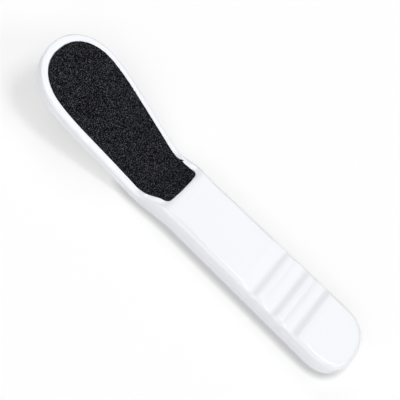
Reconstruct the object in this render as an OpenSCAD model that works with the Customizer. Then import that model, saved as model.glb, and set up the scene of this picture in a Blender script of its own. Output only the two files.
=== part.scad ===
// Double-sided foot file: a hollow two-shell moulding with a bent paddle head, a grooved
// handle, and a laminated abrasive pad bonded in a shallow recess on each face of the head.
// X runs from the tip of the head to the butt of the handle, Y across, Z up.
// The origin is in the middle of the length and width, on the surface that the file lies on.

/* [Overall] */
// Length from the tip of the head to the butt of the handle
overall_l = 240; // [216:1:264]

/* [Head] */
// Greatest width of the head
head_w = 54; // [49:0.5:59]
// Thickness of the head at its tip
tip_t = 8; // [7.4:0.1:8.6]
// Thickness of the head at the neck
neck_t = 6; // [5.8:0.1:7]
// Length of the head from its tip to the neck, where its upper face meets the ramp
head_l = 86; // [82:0.5:91]
// Distance from the tip to the bend in the underside
bend_place_l = 93; // [90:0.5:98]
// Distance from the tip to the widest place of the head
widest_l = 38.5; // [34:0.5:42]
// Length of the rounded tip
tip_round_l = 29.2; // [26:0.2:32]
// Squareness of the rounded tip: 2 is an ellipse
tip_square = 2.2; // [2:0.05:2.6]
// Width of the neck, between head and handle
neck_w = 42.5; // [39:0.5:44]
// Upward slope of the head where it leaves the neck, in degrees
neck_slope = 14; // [12:0.1:16]
// Upward slope that is left at the tip, in degrees
tip_slope = 11.3; // [8:0.1:11.6]
// Length over which the underside bends from the handle into the head
neck_bend_l = 9; // [6:0.5:12]
// Length over which one stretch of the outline blends into the next
outline_blend_l = 14; // [8:0.5:18]

/* [Handle] */
// Thickness of the handle
handle_t = 13.3; // [12.5:0.1:14.5]
// Length of the ramp that rises from the head's face to the handle's top
ramp_l = 21.8; // [18:0.2:25]
// Width of the handle at the end of the ramp
handle_front_w = 38.4; // [36:0.2:41]
// Width of the handle at its rounded butt
handle_back_w = 41.6; // [39:0.2:44]
// Length of the rounded butt
butt_round_l = 21; // [18:0.5:23]
// Squareness of the rounded butt: 2 is an ellipse
butt_square = 2.4; // [2:0.05:2.6]

/* [Finger grooves] */
// Number of grooves across the top of the handle
groove_count = 3; // [2:1:4]
// Distance from one groove to the next
groove_pitch = 15.6; // [14:0.1:17]
// Depth of the last groove at its lowest line
groove_depth = 0.95; // [0.6:0.05:1.4]
// Depth of the first groove as a share of the last
first_groove_share = 0.72; // [0.5:0.01:1]
// Share of each pitch over which the top falls, before it rises to the next crest
groove_fall_share = 0.43; // [0.4:0.01:0.7]
// Quickness of the fall behind a crest: 1 starts gently, less starts at once
groove_fall_power = 0.6; // [0.5:0.05:1]
// Quickness of the rise out of a groove: 1 starts gently, less starts at once
groove_rise_power = 0.85; // [0.5:0.05:1]
// Distance from the last crest to the butt
butt_flat_l = 29.4; // [26:0.2:34]

/* [Edges] */
// Edge radius of the handle's top
handle_edge_r = 3.4; // [3:0.1:4.5]
// Edge radius of the handle's underside
under_edge_r = 4.3; // [3:0.1:5]
// Edge radius of the head's rim
head_edge_r = 1.7; // [1.2:0.1:2.2]

/* [Shell walls] */
// Thickness of the side walls, and of the handle's top and bottom
wall_t = 1.9; // [1.7:0.1:2.2]
// Thickness of the head's faces before the recesses
head_face_t = 1.7; // [1.5:0.1:1.8]
// Seam between the two shells
seam_gap = 0.06; // [0.04:0.01:0.1]
// Height of the tongue that locates the shells
tongue_h = 0.7; // [0.5:0.1:0.8]
// Sideways clearance of the tongue
tongue_gap = 0.1; // [0.06:0.02:0.2]

/* [Ribs and pegs] */
// Thickness of a rib
rib_t = 1.3; // [1:0.1:1.8]
// Distance from one rib across the shell to the next
rib_pitch = 17; // [14:0.5:22]
// Distance that a rib stays away from the side walls
rib_end_gap = 1.6; // [1.2:0.1:2.4]
// Distance that a rib stays back from the seam
rib_seam_gap = 0.35; // [0.2:0.05:0.5]
// Radius of a locating peg
peg_r = 1.6; // [1.4:0.1:2]
// Depth that a peg reaches into its socket
peg_l = 3; // [2:0.1:3.2]
// Radial clearance of a peg in its socket
peg_gap = 0.1; // [0.06:0.02:0.2]
// Wall of a peg's boss and of a socket
boss_wall = 1.5; // [1.2:0.1:2]

/* [Abrasive pads] */
// Distance from the side of the head to the edge of a pad
pad_inset = 4.2; // [3.8:0.1:5.5]
// Distance from the tip of the head to the edge of a pad
pad_tip_inset = 5.1; // [4.5:0.1:6.5]
// Depth of the recess that holds a pad
recess_d = 0.6; // [0.4:0.05:0.75]
// Gap round a pad in its recess
pad_gap = 0.15; // [0.1:0.05:0.3]
// Distance from the tip of the file to the foot of the front pad
front_pad_end = 105.7; // [103:0.1:108]
// Half width of the front pad at its foot
front_foot_half_w = 14.1; // [12:0.1:15]
// Distance from the tip of the file to the foot of the back pad
back_pad_end = 86.5; // [80:0.5:88]
// Half width of the back pad at its foot
back_foot_half_w = 16.5; // [14:0.1:17]
// Length over which a pad narrows to its foot
foot_taper_l = 14.5; // [11:0.5:18]
// Corner radius at the foot of a pad
foot_corner_r = 3.2; // [2.5:0.1:4]
// Bow of a pad's foot edge
foot_bow = 0.4; // [0.2:0.1:0.8]
// Thickness of the adhesive film
adhesive_t = 0.12; // [0.08:0.02:0.2]
// Thickness of the backing cloth
backing_t = 0.3; // [0.2:0.05:0.45]
// Thickness of the coarse grit on the front
coarse_t = 0.45; // [0.3:0.05:0.6]
// Thickness of the fine grit on the back
fine_t = 0.35; // [0.25:0.05:0.5]
// Clearance from one layer of a pad to the next
layer_gap = 0.02; // [0.01:0.01:0.04]

/* [Hidden] */

shell_colour = "#f4f5f7";
adhesive_colour = "#d9cfae";
cloth_colour = "#3b3530";
coarse_colour = "#1b1b1d";
fine_colour = "#2b2b2e";

// Places along the length
x_tip = -overall_l / 2;
x_butt = overall_l / 2;
x_widest = x_tip + widest_l;
x_neck = x_tip + head_l;
x_ramp_end = x_neck + ramp_l;
x_tip_round = x_tip + tip_round_l;
x_butt_round = x_butt - butt_round_l;
x_last_crest = x_butt - butt_flat_l;
x_first_crest = x_last_crest - groove_count * groove_pitch;
x_bend = x_tip + bend_place_l;

// Curve of the head: an arc that leaves the neck at one slope and ends at the other
head_arc_r = bend_place_l / (sin(neck_slope) - sin(tip_slope));

// Steps of the outline in each stretch of the length
tip_steps = 10;
head_steps = 9;
ramp_steps = 14;
shaft_steps = 7;
pitch_steps = 8;
flat_steps = 2;
butt_steps = 9;
corner_steps = 4;
taper_steps = 8;
edge_angles = [90, 60, 30, 0];
inner_edge_angles = [0, 45, 90];
round_fn = 48;

// Depth that a rib or boss is sunk into the wall that carries it
bite = wall_t / 4;
// Reach of a cut past the face that it opens
overrun = neck_t / 2;
// Place on the ramp where the rim's edge starts to widen into the handle's, as a share of it
edge_start_share = 0.45;
// Places in a blend of the outline, as shares of its length
blend_shares = [-0.5, -0.3, -0.1, 0.1, 0.3, 0.5];
// Smallest radius of an inner edge
inner_r_min = wall_t / 6;
half_wall = wall_t / 2;

function within(u) = max(0, min(1, u));
function ease(u) = let (v = within(u)) v * v * (3 - 2 * v);
function steps(from, to, n) = [for (i = [0:n - 1]) from + (to - from) * i / n];

// Height of the underside: flat under the handle, bent at the neck, then the arc of the head
function arc_rise(s) =
    head_arc_r * (sqrt(1 - pow(sin(neck_slope) - s / head_arc_r, 2)) - cos(neck_slope));
function underside(x) =
    let (s = x_bend - x, b = neck_bend_l / 2)
    s <= -b ? 0 : s < b ? arc_rise(b) * pow((s + b) / (2 * b), 2) : arc_rise(s);

// Thickness before the grooves are cut
function ramp_share(x) = ease((x - x_neck) / ramp_l);
function head_t(x) = neck_t + (tip_t - neck_t) * within((x_neck - x) / head_l);
function thickness(x) = head_t(x) + (handle_t - head_t(x)) * ramp_share(x);

// Depth of the finger grooves: each falls quickly behind its crest and rises to the next one
function swing(v) = (1 - cos(180 * v)) / 2;
function scallop(u) =
    u < groove_fall_share ? swing(pow(u / groove_fall_share, groove_fall_power))
    : swing(1 - pow((u - groove_fall_share) / (1 - groove_fall_share), groove_rise_power));
function depth_share(k) = first_groove_share + (1 - first_groove_share) * k / (groove_count - 1);
function groove(x) =
    x <= x_first_crest || x >= x_last_crest ? 0
    : let (p = (x - x_first_crest) / groove_pitch, k = floor(p))
      groove_depth * depth_share(k) * scallop(p - k);

function body_top(x) = underside(x) + thickness(x);
function top(x) = body_top(x) - groove(x);
function seam(x) = underside(x) + thickness(x) / 2;

// Radius of the outer edges, and thickness of the faces behind them
function edge_share(x) = ease((x - x_neck) / ramp_l - edge_start_share);
function edge_r(x, handle_r) = head_edge_r + (handle_r - head_edge_r) * edge_share(x);
function top_edge_r(x) = edge_r(x, handle_edge_r);
function bottom_edge_r(x) = edge_r(x, under_edge_r);
function face_t(x) = head_face_t + (wall_t - head_face_t) * ramp_share(x);
function inner_r(r) = max(r - wall_t, inner_r_min);

// Half of the width before the ends are rounded: straight stretches, blended into each other
function straight_half_w(x) = lookup(x, [
    [x_widest, head_w / 2],
    [x_neck, neck_w / 2],
    [x_ramp_end, handle_front_w / 2],
    [x_butt_round, handle_back_w / 2]
]);
function blended_half_w(x) =
    [for (s = blend_shares) straight_half_w(x + s * outline_blend_l)]
    * [for (s = blend_shares) 1] / len(blend_shares);
function rounded(u, n) = pow(1 - pow(within(u), n), 1 / n);
function half_w(x) =
    blended_half_w(x)
    * rounded((x_tip_round - x) / tip_round_l, tip_square)
    * rounded((x - x_butt_round) / butt_round_l, butt_square);

// One side of the outline, from the tip to the butt
stations = concat(
    [for (i = [0:tip_steps - 1]) x_tip_round - tip_round_l * cos(90 * i / tip_steps)],
    steps(x_tip_round, x_neck - neck_bend_l / 2, head_steps),
    steps(x_neck - neck_bend_l / 2, x_ramp_end, ramp_steps),
    steps(x_ramp_end, x_first_crest, shaft_steps),
    steps(x_first_crest, x_last_crest, pitch_steps * groove_count),
    steps(x_last_crest, x_butt_round, flat_steps),
    [for (i = [0:butt_steps]) x_butt_round + butt_round_l * sin(90 * i / butt_steps)]
);
last = len(stations) - 1;
outline = [for (i = [0:last]) [stations[i], i == 0 || i == last ? 0 : half_w(stations[i])]];
outward = [for (i = [0:last])
    i == 0 ? [-1, 0] : i == last ? [1, 0]
    : let (d = outline[i + 1] - outline[i - 1]) [-d.y, d.x] / norm(d)];
function inset_side(inset) = [for (i = [0:last]) outline[i] - inset(stations[i]) * outward[i]];

// A closed ring over one side of an outline and its mirror image
function ring(side, height) =
    let (n = len(side) - 1, half = [for (p = side) [p.x, p.y, height(p.x)]])
    concat(half, [for (i = [n - 1:-1:1]) [half[i].x, -half[i].y, half[i].z]]);

// The solid between a row of rings, closed across the first ring and across the last one.
// The rings run downwards on the outside of the solid, or upwards when flipped.
module ring_solid(rings, flip = false) {
    n = len(rings[0]);
    m = n / 2;
    k_last = len(rings) - 1;
    quads = concat(
        [for (i = [0:m - 1]) [i, i + 1, (n - i - 1) % n, (n - i) % n]],
        [for (k = [0:k_last - 1]) for (j = [0:n - 1])
            [k * n + (j + 1) % n, k * n + j, (k + 1) * n + j, (k + 1) * n + (j + 1) % n]],
        [for (i = [0:m - 1]) [for (j = [(n - i) % n, (n - i - 1) % n, i + 1, i]) k_last * n + j]]
    );
    triangles = [for (q = quads) for (t = [[q[0], q[1], q[2]], [q[0], q[2], q[3]]])
        if (t[0] != t[1] && t[1] != t[2] && t[2] != t[0]) flip ? [t[2], t[1], t[0]] : t];
    polyhedron(points = [for (r = rings) for (p = r) p], faces = triangles);
}

// Upper shell: outer edge with the grooves cut into it, seam with its rebate for the tongue,
// inner wall, inner edge
upper_rings = concat(
    [for (a = edge_angles) ring(
        inset_side(function(x) top_edge_r(x) * (1 - cos(a))),
        function(x) min(top(x), body_top(x) - top_edge_r(x) * (1 - sin(a))))],
    [for (s = [[0, 0], [half_wall, 0], [half_wall, tongue_h + tongue_gap], [wall_t, tongue_h + tongue_gap]])
        ring(inset_side(function(x) s[0]), function(x) seam(x) + seam_gap / 2 + s[1])],
    [for (a = inner_edge_angles) ring(
        inset_side(function(x) wall_t + inner_r(top_edge_r(x)) * (1 - cos(a))),
        function(x) top(x) - face_t(x) - inner_r(top_edge_r(x)) * (1 - sin(a)))]
);

// Lower shell: the same from below, with the tongue standing on its wall
lower_rings = concat(
    [for (a = edge_angles) ring(
        inset_side(function(x) bottom_edge_r(x) * (1 - cos(a))),
        function(x) underside(x) + bottom_edge_r(x) * (1 - sin(a)))],
    [for (s = [[0, 0], [half_wall + tongue_gap, 0], [half_wall + tongue_gap, tongue_h], [wall_t, tongue_h]])
        ring(inset_side(function(x) s[0]), function(x) seam(x) - seam_gap / 2 + s[1])],
    [for (a = inner_edge_angles) ring(
        inset_side(function(x) wall_t + inner_r(bottom_edge_r(x)) * (1 - cos(a))),
        function(x) underside(x) + face_t(x) + inner_r(bottom_edge_r(x)) * (1 - sin(a)))]
);

// Ribs and pegs inside the shells
rib_xs = [for (x = [x_tip_round + rib_pitch / 2:rib_pitch:x_butt_round]) x];
spine_xs = concat(steps(x_ramp_end, x_first_crest, shaft_steps),
    [for (i = [0:pitch_steps * groove_count]) x_first_crest + i * groove_pitch / pitch_steps],
    [x_butt_round]);
peg_xs = [x_ramp_end + rib_pitch / 2, (x_ramp_end + x_first_crest) / 2 + rib_pitch / 2,
    x_last_crest];

function inner_top(x) = top(x) - face_t(x) + bite;
function inner_floor(x) = underside(x) + face_t(x) - bite;

module cross_rib(x, z_from, z_to) {
    reach = half_w(x) - wall_t - rib_end_gap;
    translate([x - rib_t / 2, -reach, z_from])
        cube([rib_t, 2 * reach, z_to - z_from]);
}

module spine(lower_edge, upper_edge) {
    translate([0, rib_t / 2, 0])
        rotate([90, 0, 0])
            linear_extrude(rib_t)
                polygon(concat(
                    [for (x = spine_xs) [x, upper_edge(x)]],
                    [for (i = [len(spine_xs) - 1:-1:0]) [spine_xs[i], lower_edge(spine_xs[i])]]));
}

module upper_ribs() {
    for (x = rib_xs) {
        low = max(seam(x - rib_t / 2), seam(x + rib_t / 2)) + seam_gap / 2 + rib_seam_gap;
        high = min(inner_top(x - rib_t / 2), inner_top(x + rib_t / 2));
        cross_rib(x, low, high);
    }
    spine(function(x) seam(x) + seam_gap / 2 + rib_seam_gap, function(x) inner_top(x));
}

module lower_ribs() {
    for (x = rib_xs) {
        low = max(inner_floor(x - rib_t / 2), inner_floor(x + rib_t / 2));
        high = min(seam(x - rib_t / 2), seam(x + rib_t / 2)) - seam_gap / 2 - rib_seam_gap;
        cross_rib(x, low, high);
    }
    spine(function(x) inner_floor(x), function(x) seam(x) - seam_gap / 2 - rib_seam_gap);
}

function pad_edge(clear) = [for (i = [0:last])
    let (tip_share = max(0, -outward[i].x))
    outline[i] - (pad_inset + (pad_tip_inset - pad_inset) * tip_share - clear) * outward[i]];

// Outline of a pad: it follows the head, narrows to its foot and ends in a bowed edge
function pad_side(end_l, foot_half_w, clear) =
    let (x_end = x_tip + end_l,
        x_taper = x_end - foot_taper_l,
        side = pad_edge(clear),
        head_side = [for (p = side) if (p.x < x_taper - foot_taper_l / taper_steps / 2) p],
        start_w = half_w(x_taper) - pad_inset,
        taper_to = foot_taper_l - foot_corner_r,
        taper = [for (i = [0:taper_steps])
            let (u = i / taper_steps)
            [x_taper + taper_to * u, start_w + (foot_half_w - start_w) * ease(u) + clear]],
        corner = [for (i = [1:corner_steps])
            let (a = 90 * i / corner_steps)
            [x_end - foot_corner_r + foot_corner_r * sin(a) + (i == corner_steps ? clear : 0),
            foot_half_w + clear - foot_corner_r * (1 - cos(a))]])
    concat(head_side, taper, corner, [[x_end + foot_bow + clear, 0]]);

module front_layer(from, to, clear = 0) {
    side = pad_side(front_pad_end, front_foot_half_w, clear);
    ring_solid([ring(side, function(x) top(x) - recess_d + to),
        ring(side, function(x) top(x) - recess_d + from)]);
}

module back_layer(from, to, clear = 0) {
    side = pad_side(back_pad_end, back_foot_half_w, clear);
    ring_solid([ring(side, function(x) underside(x) + recess_d - from),
        ring(side, function(x) underside(x) + recess_d - to)]);
}

// Heights of the layers above the floor of a recess
adhesive_from = layer_gap;
adhesive_to = adhesive_from + adhesive_t;
backing_from = adhesive_to + layer_gap;
backing_to = backing_from + backing_t;
grit_from = backing_to + layer_gap;

module upper_shell() {
    color(shell_colour)
    difference() {
        union() {
            ring_solid(upper_rings);
            upper_ribs();
            for (x = peg_xs) {
                boss_foot = seam(x) + seam_gap / 2;
                translate([x, 0, boss_foot])
                    cylinder(r = peg_r + boss_wall, h = inner_top(x) - boss_foot, $fn = round_fn);
                translate([x, 0, seam(x) - peg_l])
                    cylinder(r = peg_r, h = peg_l + overrun, $fn = round_fn);
            }
        }
        front_layer(0, recess_d + overrun, pad_gap);
    }
}

module lower_shell() {
    color(shell_colour)
    difference() {
        union() {
            ring_solid(lower_rings, flip = true);
            lower_ribs();
            for (x = peg_xs) {
                boss_head = seam(x) - seam_gap / 2;
                translate([x, 0, inner_floor(x)])
                    cylinder(r = peg_r + boss_wall, h = boss_head - inner_floor(x), $fn = round_fn);
            }
        }
        back_layer(0, recess_d + overrun, pad_gap);
        for (x = peg_xs)
            translate([x, 0, seam(x) - peg_l - peg_gap])
                cylinder(r = peg_r + peg_gap, h = peg_l + overrun, $fn = round_fn);
    }
}

module front_adhesive() {
    color(adhesive_colour) front_layer(adhesive_from, adhesive_to);
}

module front_backing_cloth() {
    color(cloth_colour) front_layer(backing_from, backing_to);
}

module front_coarse_grit() {
    color(coarse_colour) front_layer(grit_from, grit_from + coarse_t);
}

module back_adhesive() {
    color(adhesive_colour) back_layer(adhesive_from, adhesive_to);
}

module back_backing_cloth() {
    color(cloth_colour) back_layer(backing_from, backing_to);
}

module back_fine_grit() {
    color(fine_colour) back_layer(grit_from, grit_from + fine_t);
}

upper_shell();
lower_shell();
front_adhesive();
front_backing_cloth();
front_coarse_grit();
back_adhesive();
back_backing_cloth();
back_fine_grit();
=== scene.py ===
"""Double-sided foot file: a glossy white moulding with a bent paddle head and a grooved handle,
and a black abrasive pad bonded into each face of the head.

X runs from the tip of the head to the butt of the handle, Y across and Z up. The front pad
faces up, and the underside of the handle rests on the floor."""

import math

import bmesh
import bpy
import numpy as np
from bpy.props import FloatProperty, FloatVectorProperty, IntProperty, PointerProperty
from mathutils import Matrix, Vector, noise
from mathutils.geometry import delaunay_2d_cdt


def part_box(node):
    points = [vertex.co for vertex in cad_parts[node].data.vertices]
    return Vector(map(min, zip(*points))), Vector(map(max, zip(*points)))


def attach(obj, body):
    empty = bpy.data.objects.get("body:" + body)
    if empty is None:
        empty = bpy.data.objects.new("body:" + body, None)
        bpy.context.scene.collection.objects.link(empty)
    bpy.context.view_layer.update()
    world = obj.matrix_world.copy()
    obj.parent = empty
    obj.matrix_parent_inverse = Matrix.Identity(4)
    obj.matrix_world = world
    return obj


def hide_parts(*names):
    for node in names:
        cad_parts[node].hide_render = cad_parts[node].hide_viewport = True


bl_info = {
    "name": "Foot File",
    "version": (1, 0, 0),
    "blender": (4, 5, 0),
    "location": "3D View > Sidebar > Foot File",
    "description": "Dresses a double-sided foot file and builds the studio that shows it",
    "category": "Object",
}

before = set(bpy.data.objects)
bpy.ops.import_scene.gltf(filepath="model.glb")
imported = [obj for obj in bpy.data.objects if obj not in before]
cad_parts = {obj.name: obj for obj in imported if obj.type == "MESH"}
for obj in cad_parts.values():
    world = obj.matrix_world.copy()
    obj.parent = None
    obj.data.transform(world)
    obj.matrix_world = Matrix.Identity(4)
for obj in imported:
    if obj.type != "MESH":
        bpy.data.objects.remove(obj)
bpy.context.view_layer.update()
SHELL_LOW, SHELL_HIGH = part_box("upper_shell")

MM = 0.001
# Rays that see the floor lighter than it is and the sky as white
SEEN_RAYS = ("Is Camera Ray", "Is Glossy Ray", "Is Transmission Ray")

# Sockets of a Mix node that mixes colours
MIX_LOW, MIX_HIGH, MIX_RESULT = 6, 7, 2
# Triangulation: only inside the loops, and points this close are one
FILL_INSIDE, FILL_MERGE = 1, 1e-7

# Points on the curves of the file before they are spread evenly
END_POINTS, SIDE_POINTS = 160, 1600
TAPER_POINTS, CORNER_POINTS, FOOT_POINTS = 24, 10, 30
# Meshes of the shells
OUTLINE_STEP = 0.9 * MM
GROOVE_STEP = 0.4 * MM
CAP_STEP = 2.2 * MM
EDGE_STEPS = 14
SEAM_STEPS = 4
LIP_STEPS = 4
INNER_EDGE_STEPS = 3
SMOOTH_LIMIT = math.radians(38)
LEAST_INNER_SHARE = 1 / 6
# Points of a cap keep this share of a step clear of its rings, and are tested in chunks
CLEAR_SHARE, CHUNK = 0.6, 2000
# A groove's rim is at least this soft, so that nothing is divided by zero
LEAST_RIM = 1e-9

# A second, finer ripple on noise, and how much weaker it is
FINE_RIPPLE = 2.3
CUT_RIPPLE_SHARE, LUMP_RIPPLE_SHARE = 0.5, 0.6
CUT_RIPPLE_SEED = 7
# Cut edge of a sheet, and the worn line half way down it
CUT_RIPPLE = 1.6 * MM
WORN_ROUGH, WORN_RIPPLE, WORN_SEED = 0.05 * MM, 0.7 * MM, 3
WORN_SHARE = 0.45
FRAY_WAY = (0.76, 0.65)
# Surface of the resin
FRONT_SEED, BACK_SEED = 5, 23
FINE_CLUMP_SHARE = 0.5
LUMP_DEPTH = 0.8
RESIN_JITTER = 0.3
RESIN_SMOOTH_LIMIT = math.radians(60)
# Grains that stand out of the resin: each is an octahedron, given by its corners and by the
# corners of its faces, and what is a length is a share of the mean grain
GRAIN_CORNER_WAYS = ((1, 0, 0), (-1, 0, 0), (0, 1, 0), (0, -1, 0), (0, 0, 1), (0, 0, -1))
GRAIN_FACES = ((0, 2, 4), (2, 1, 4), (1, 3, 4), (3, 0, 4),
               (2, 0, 5), (1, 2, 5), (3, 1, 5), (0, 3, 5))
GRAIN_SEED = 11
GRAIN_SPARE = 1.18
GRAIN_JITTER = 0.48
GRAIN_CLEAR = 0.35
GRAIN_SIZES, GRAIN_REACHES = (0.65, 1.35), (0.7, 1.25)
GRAIN_FLATNESS = 0.8
GRAIN_SUNK = (-0.15, 0.12)
GRAIN_TONES = (1.1, 3.2)


def length(name, description, millimetres):
    """A length that is given in millimetres and kept in metres."""
    return FloatProperty(name=name, description=description, default=millimetres * MM,
                         precision=5, unit="LENGTH")


def angle(name, description, degrees):
    """An angle that is given in degrees and kept in radians."""
    return FloatProperty(name=name, description=description, default=math.radians(degrees),
                         subtype="ANGLE", unit="ROTATION")


def share(name, description, value):
    """A part of something else, from none to all of it."""
    return FloatProperty(name=name, description=description, default=value, min=0, max=1,
                         subtype="FACTOR")


def level(name, description, value):
    """A strength with no unit."""
    return FloatProperty(name=name, description=description, default=value, min=0)


def colour(name, description, red, green, blue):
    """A linear colour."""
    return FloatVectorProperty(name=name, description=description, default=(red, green, blue),
                               size=3, min=0, max=1, subtype="COLOR")


def edges(name, description, *places):
    """Four places in order, at which something begins, is full, starts to fade and ends."""
    return FloatVectorProperty(name=name, description=description, default=places, size=4)


def count(name, description, value):
    """How many there are of something."""
    return IntProperty(name=name, description=description, default=value, min=1)


class FootFileSizes(bpy.types.PropertyGroup):
    """Sizes of the moulding and of the two pads."""

    # Head
    overall_l: length("Length", "From the tip of the head to the butt of the handle",
                      (SHELL_HIGH.x - SHELL_LOW.x) / MM)
    head_w: length("Head width", "Greatest width of the head", (SHELL_HIGH.y - SHELL_LOW.y) / MM)
    tip_t: length("Tip thickness", "Thickness of the head at its tip", 8)
    neck_t: length("Neck thickness", "Thickness of the head at the neck", 6)
    head_l: length("Head length", "From the tip to where the ramp starts", 86)
    bend_place_l: length("Bend place", "From the tip to the bend in the underside", 93)
    widest_l: length("Widest place", "From the tip to the widest place of the head", 38.5)
    tip_round_l: length("Tip length", "Length of the rounded tip", 29.2)
    tip_square: level("Tip squareness", "Exponent of the rounded tip: 2 is an ellipse", 2.2)
    neck_w: length("Neck width", "Width between head and handle", 42.5)
    neck_slope: angle("Neck slope", "Upward slope of the head where it leaves the neck", 14)
    tip_slope: angle("Tip slope", "Upward slope that is left at the tip", 11.3)
    neck_bend_l: length("Neck bend", "Length over which the underside bends", 9)
    outline_blend_l: length("Outline blend", "Length over which stretches of the outline blend", 14)
    # Handle
    handle_t: length("Handle thickness", "Thickness of the handle", 13.3)
    ramp_l: length("Ramp length", "Length of the ramp from the head to the handle's top", 21.8)
    handle_front_w: length("Front width", "Width of the handle at the end of the ramp", 38.4)
    handle_back_w: length("Back width", "Width of the handle at its rounded butt", 41.6)
    butt_round_l: length("Butt length", "Length of the rounded butt", 21)
    butt_square: level("Butt squareness", "Exponent of the rounded butt: 2 is an ellipse", 2.4)
    # Finger grooves
    groove_count: count("Grooves", "Finger grooves across the handle's top", 3)
    groove_pitch: length("Groove pitch", "From one groove to the next", 15.6)
    groove_depth: length("Groove depth", "Depth of the last groove at its lowest line", 0.95)
    first_groove_share: share("First groove", "Depth of the first groove as a share of the last",
                              0.72)
    groove_fall_share: share("Groove fall", "Share of the pitch over which the top falls", 0.43)
    groove_fall_power: level("Fall power", "Quickness of the fall: less than 1 is sooner", 0.6)
    groove_rise_power: level("Rise power", "Quickness of the rise: less than 1 is sooner", 0.85)
    groove_rim: length("Groove rim", "Softness of the rim where a groove cuts the edge", 0.5)
    butt_flat_l: length("Butt flat", "From the last crest to the butt", 29.4)
    # Edges
    handle_edge_r: length("Top edge", "Edge radius of the handle's top", 3.4)
    under_edge_r: length("Under edge", "Edge radius of the handle's underside", 4.3)
    head_edge_r: length("Rim edge", "Edge radius of the head's rim", 1.7)
    edge_start_share: share("Edge start", "Where on the ramp the rim's edge starts to widen", 0.45)
    # Shell walls
    wall_t: length("Wall", "Thickness of the walls", 1.9)
    head_face_t: length("Head face", "Thickness of the head's faces before the recesses", 1.7)
    seam_gap: length("Seam gap", "Seam between the two shells", 0.03)
    seam_round_r: length("Seam edge", "Rounding of the two edges that meet at the seam", 0.03)
    tongue_h: length("Tongue height", "Height of the tongue that locates the shells", 0.7)
    tongue_gap: length("Tongue gap", "Sideways clearance of the tongue", 0.1)
    # Pads
    pad_inset: length("Pad inset", "From the side of the head to the edge of a pad", 4.2)
    pad_tip_inset: length("Pad tip inset", "From the tip of the head to the edge of a pad", 5.1)
    recess_d: length("Recess depth", "Depth of the recess that holds a pad", 0.6)
    recess_lip_r: length("Recess lip", "Rounding of the edge of a recess", 0.3)
    pad_gap: length("Pad gap", "Gap round a pad in its recess", 0.15)
    front_pad_end: length("Front pad end", "From the file's tip to the foot of the front pad",
                          105.7)
    front_foot_half_w: length("Front foot", "Half width of the front pad at its foot", 14.1)
    back_pad_end: length("Back pad end", "From the file's tip to the foot of the back pad", 86.5)
    back_foot_half_w: length("Back foot", "Half width of the back pad at its foot", 16.5)
    foot_taper_l: length("Foot taper", "Length over which a pad narrows to its foot", 14.5)
    foot_corner_r: length("Foot corner", "Corner radius at the foot of a pad", 3.2)
    foot_bow: length("Foot bow", "Bow of a pad's foot edge", 0.4)
    grit_floor: length("Grit floor", "Height of a grit layer above the recess floor", 0.48)
    coarse_t: length("Coarse grit", "Thickness of the coarse grit", 0.45)
    fine_t: length("Fine grit", "Thickness of the fine grit", 0.35)


class FootFileGrit(bpy.types.PropertyGroup):
    """Grains and cut edges of the abrasive sheets."""

    coarse_grains: count("Coarse grains", "Loose-standing grains on the front", 9000)
    coarse_grain: length("Coarse grain", "Mean size of a coarse grain", 0.46)
    fine_grains: count("Fine grains", "Loose-standing grains on the back", 9000)
    fine_grain: length("Fine grain", "Mean size of a fine grain", 0.27)
    clump: length("Clump", "Size of the clumps in which the coarse grit lies", 1.3)
    clump_h: length("Clump height", "Height of the coarse clumps", 0.13)
    cut_rough: length("Cut edge", "Wander of the cut edge of a pad", 0.2)
    fray: length("Frayed nib", "Reach of the loose nib at the front pad's cut edge", 2.2)
    fray_l: length("Frayed nib length", "Length of the edge that the nib takes up", 1.9)
    fray_x: length("Frayed nib place", "Place of the nib along the file", -26.8)
    mesh_step: length("Mesh step", "Spacing of the grit surface's points", 0.5)


class FootFileColours(bpy.types.PropertyGroup):
    """Colours and finishes."""

    plastic: colour("Plastic", "White of the moulding", 0.706, 0.718, 0.75)
    plastic_rough: level("Plastic roughness", "Roughness of the moulding", 0.1)
    coarse: colour("Coarse resin", "Resin and grains of the front pad", 0.0084, 0.0087, 0.0102)
    coarse_shine: level("Coarse shine", "Specular level of the front pad's resin", 0.025)
    fine: colour("Fine resin", "Resin and grains of the back pad", 0.016, 0.016, 0.018)
    fine_shine: level("Fine shine", "Specular level of the back pad's resin", 0.08)
    grain_shine: level("Grain shine", "Specular level of the grains against their resin's", 1.8)
    cloth: colour("Cloth", "Backing cloth", 0.035, 0.03, 0.026)
    adhesive: colour("Adhesive", "Adhesive film", 0.5, 0.42, 0.24)
    floor: colour("Floor", "Floor", 0.94, 0.94, 0.94)


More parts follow.
